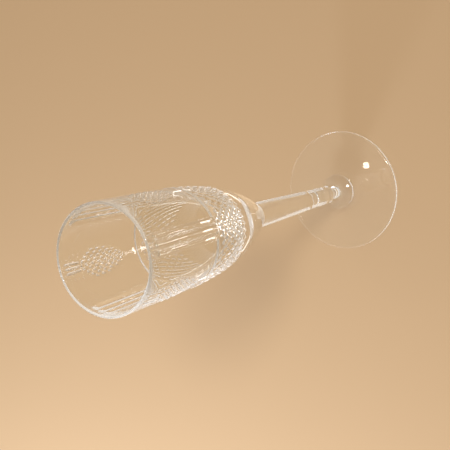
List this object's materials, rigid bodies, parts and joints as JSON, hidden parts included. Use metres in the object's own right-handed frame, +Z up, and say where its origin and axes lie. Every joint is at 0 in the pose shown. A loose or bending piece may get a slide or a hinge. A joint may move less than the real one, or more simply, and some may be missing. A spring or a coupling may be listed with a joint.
{
  "type": "champagne flute",
  "caption": "Tall pressed-glass champagne flute with reeded panels and a studded band on the bowl, a faceted stem and a round hollow foot.",
  "frame": {"origin": "middle of the ring that the foot rests on", "axes": "+Z up along the axis of the glass, +X through the middle of one panel of reeds"},
  "size_m": [0.0658, 0.0658, 0.22],
  "materials": {
    "bowl_glass": "clear, fire polished",
    "stem_glass": "clear, cut and polished",
    "foot_glass": "clear, fire polished"
  },
  "bodies": {
    "root": {"bowl": "bowl_glass", "stem": "stem_glass", "neck": "stem_glass", "foot": "foot_glass"}
  },
  "joints": []
}
